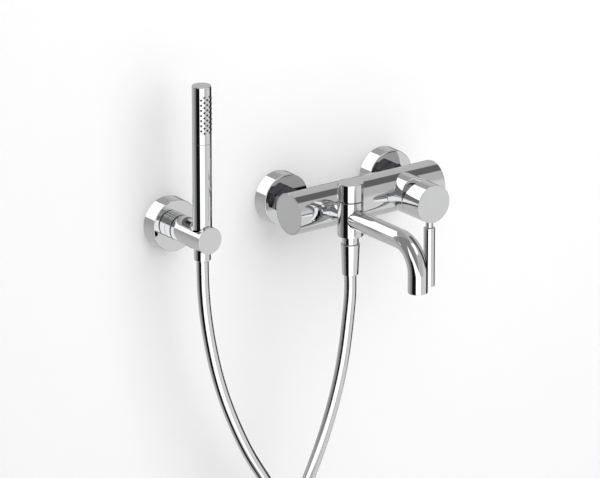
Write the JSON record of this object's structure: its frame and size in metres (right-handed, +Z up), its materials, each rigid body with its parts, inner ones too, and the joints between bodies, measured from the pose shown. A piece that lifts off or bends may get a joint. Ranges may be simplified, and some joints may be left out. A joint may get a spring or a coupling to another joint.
{
  "type": "wall mounted bath mixer with hand shower",
  "caption": "Exposed bath mixer with a lever, curved spout and diverter knob, and a slim stick hand shower on a hanging hose in its own wall holder.",
  "frame": {"origin": "on the finished wall, midway between the hot and cold inlets, at the height of the mixer body's axis", "axes": "+X to the right of someone facing the wall, +Y into the wall, +Z up"},
  "size_m": [0.366, 0.2845, 0.7792],
  "materials": {
    "chrome": "mirror polished chrome plate on brass",
    "dark_nickel": "dark nickel plate on the union nuts",
    "brass": "turned, unplated",
    "steel": "plain stainless steel",
    "ceramic": "lapped alumina",
    "grey_plastic": "moulded, satin",
    "white_plastic": "moulded, satin",
    "black_rubber": "matte",
    "nozzle_rubber": "soft silicone",
    "hose": "smooth, bright silver"
  },
  "bodies": {
    "fixed": {"hot_eccentric_union": "chrome", "hot_wall_flange": "chrome", "hot_union_nut": "dark_nickel", "hot_filter_washer": "black_rubber", "cold_eccentric_union": "chrome", "cold_wall_flange": "chrome", "cold_union_nut": "dark_nickel", "cold_filter_washer": "black_rubber", "mixer_body": "chrome", "left_end_cap": "chrome", "right_end_cap": "chrome", "cartridge_housing": "grey_plastic", "ceramic_fixed_disc": "ceramic", "cartridge_nut": "brass", "cartridge_cover": "chrome", "neck_tube": "chrome", "diverter_body": "chrome", "diverter_sleeve": "brass", "spout": "chrome", "aerator_housing": "chrome", "aerator_insert": "white_plastic", "outlet_nipple": "chrome", "check_valve_guide": "white_plastic", "check_valve_spring": "steel", "mixer_hose_nut": "chrome", "mixer_hose_washer": "black_rubber", "mixer_hose_insert": "brass", "hose": "hose", "holder_wall_plate": "steel", "holder_upper_screw": "steel", "holder_upper_wall_plug": "grey_plastic", "holder_lower_screw": "steel", "holder_lower_wall_plug": "grey_plastic", "holder_arm": "chrome", "holder_grub_screw": "steel", "holder_liner": "black_rubber", "holder_wall_flange": "chrome", "holder_base": "chrome"},
    "temperature": {"ceramic_moving_disc": "ceramic", "cartridge_carrier": "grey_plastic"},
    "handle": {"cartridge_lever": "steel", "handle_drum": "chrome", "lever_pin": "chrome", "lever_rod": "chrome", "handle_grub_screw": "steel"},
    "diverter": {"diverter_knob": "chrome", "diverter_spindle": "steel", "knob_grub_screw": "steel"},
    "check_poppet": {"check_valve_poppet": "grey_plastic"},
    "hose_end": {"shower_hose_nut": "chrome", "shower_hose_insert": "brass", "shower_hose_washer": "black_rubber"},
    "hand_shower": {"shower_handle_tube": "chrome", "shower_head_tube": "chrome", "shower_top_cap": "chrome", "shower_joint_sleeve": "brass", "nozzle_insert": "nozzle_rubber", "shower_connector": "brass", "shower_water_tube": "white_plastic"}
  },
  "joints": [
    {"name": "temperature_turn", "type": "hinge", "parent": "fixed", "child": "temperature", "pos_m": [0.052, -0.1015, 0], "axis": [0, 1, 0], "range_deg": [-45, 45]},
    {"name": "flow_lift", "type": "hinge", "parent": "temperature", "child": "handle", "pos_m": [0.052, -0.1015, 0], "axis": [-1, 0, 0], "range_deg": [0, 19]},
    {"name": "diverter_turn", "type": "hinge", "parent": "fixed", "child": "diverter", "pos_m": [-0.052, -0.112, 0.02], "axis": [0, 0, 1], "range_deg": [0, 90]},
    {"name": "check_valve_travel", "type": "slide", "parent": "fixed", "child": "check_poppet", "axis": [0, 0, -1], "range_m": [0, 0.0025], "stiffness_N_per_m": 40, "springref_m": -0.003, "deforming": ["check_valve_spring"]},
    {"name": "hand_shower_lift", "type": "slide", "parent": "fixed", "child": "hose_end", "axis": [0, 0, 1], "range_m": [0, 0.045]},
    {"name": "hand_shower_turn", "type": "hinge", "parent": "hose_end", "child": "hand_shower", "pos_m": [-0.23, -0.072, 0], "axis": [0, 0, 1], "continuous": true}
  ]
}
